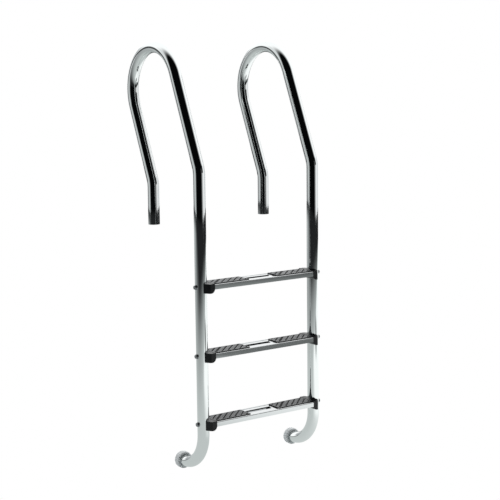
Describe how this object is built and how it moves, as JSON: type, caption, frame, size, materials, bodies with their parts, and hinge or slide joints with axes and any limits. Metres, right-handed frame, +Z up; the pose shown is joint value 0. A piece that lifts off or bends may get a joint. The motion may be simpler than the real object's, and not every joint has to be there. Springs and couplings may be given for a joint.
{
  "type": "pool ladder",
  "caption": "Stainless pool ladder with looped handrails that stand in deck anchors, bolted anti-slip treads and soft bumpers on its feet.",
  "frame": {"origin": "midway between the two anchor legs, at their lower ends", "axes": "+X from the left rail to the right rail as seen from the water, +Y from the water towards the deck, +Z up"},
  "size_m": [0.562, 0.5132, 1.5664],
  "materials": {
    "rail_steel": "mirror-polished stainless tube",
    "tread_steel": "bright, lengthwise polished stainless sheet",
    "pad_plastic": "ribbed dark grey plastic",
    "cap_plastic": "moulded black plastic",
    "bumper_rubber": "soft pale grey, satin",
    "fastener_steel": "plain stainless"
  },
  "bodies": {
    "root": {"left_rail": "rail_steel", "left_foot_bumper": "bumper_rubber", "right_rail": "rail_steel", "right_foot_bumper": "bumper_rubber", "upper_tread_channel": "tread_steel", "upper_tread_left_pad": "pad_plastic", "upper_tread_left_cap": "cap_plastic", "upper_tread_right_pad": "pad_plastic", "upper_tread_right_cap": "cap_plastic", "middle_tread_channel": "tread_steel", "middle_tread_left_pad": "pad_plastic", "middle_tread_left_cap": "cap_plastic", "middle_tread_right_pad": "pad_plastic", "middle_tread_right_cap": "cap_plastic", "lower_tread_channel": "tread_steel", "lower_tread_left_pad": "pad_plastic", "lower_tread_left_cap": "cap_plastic", "lower_tread_right_pad": "pad_plastic", "lower_tread_right_cap": "cap_plastic", "tread_bolts": "fastener_steel", "tread_nuts": "fastener_steel", "tread_flat_washers": "fastener_steel", "tread_saddle_washers": "fastener_steel"}
  },
  "joints": []
}
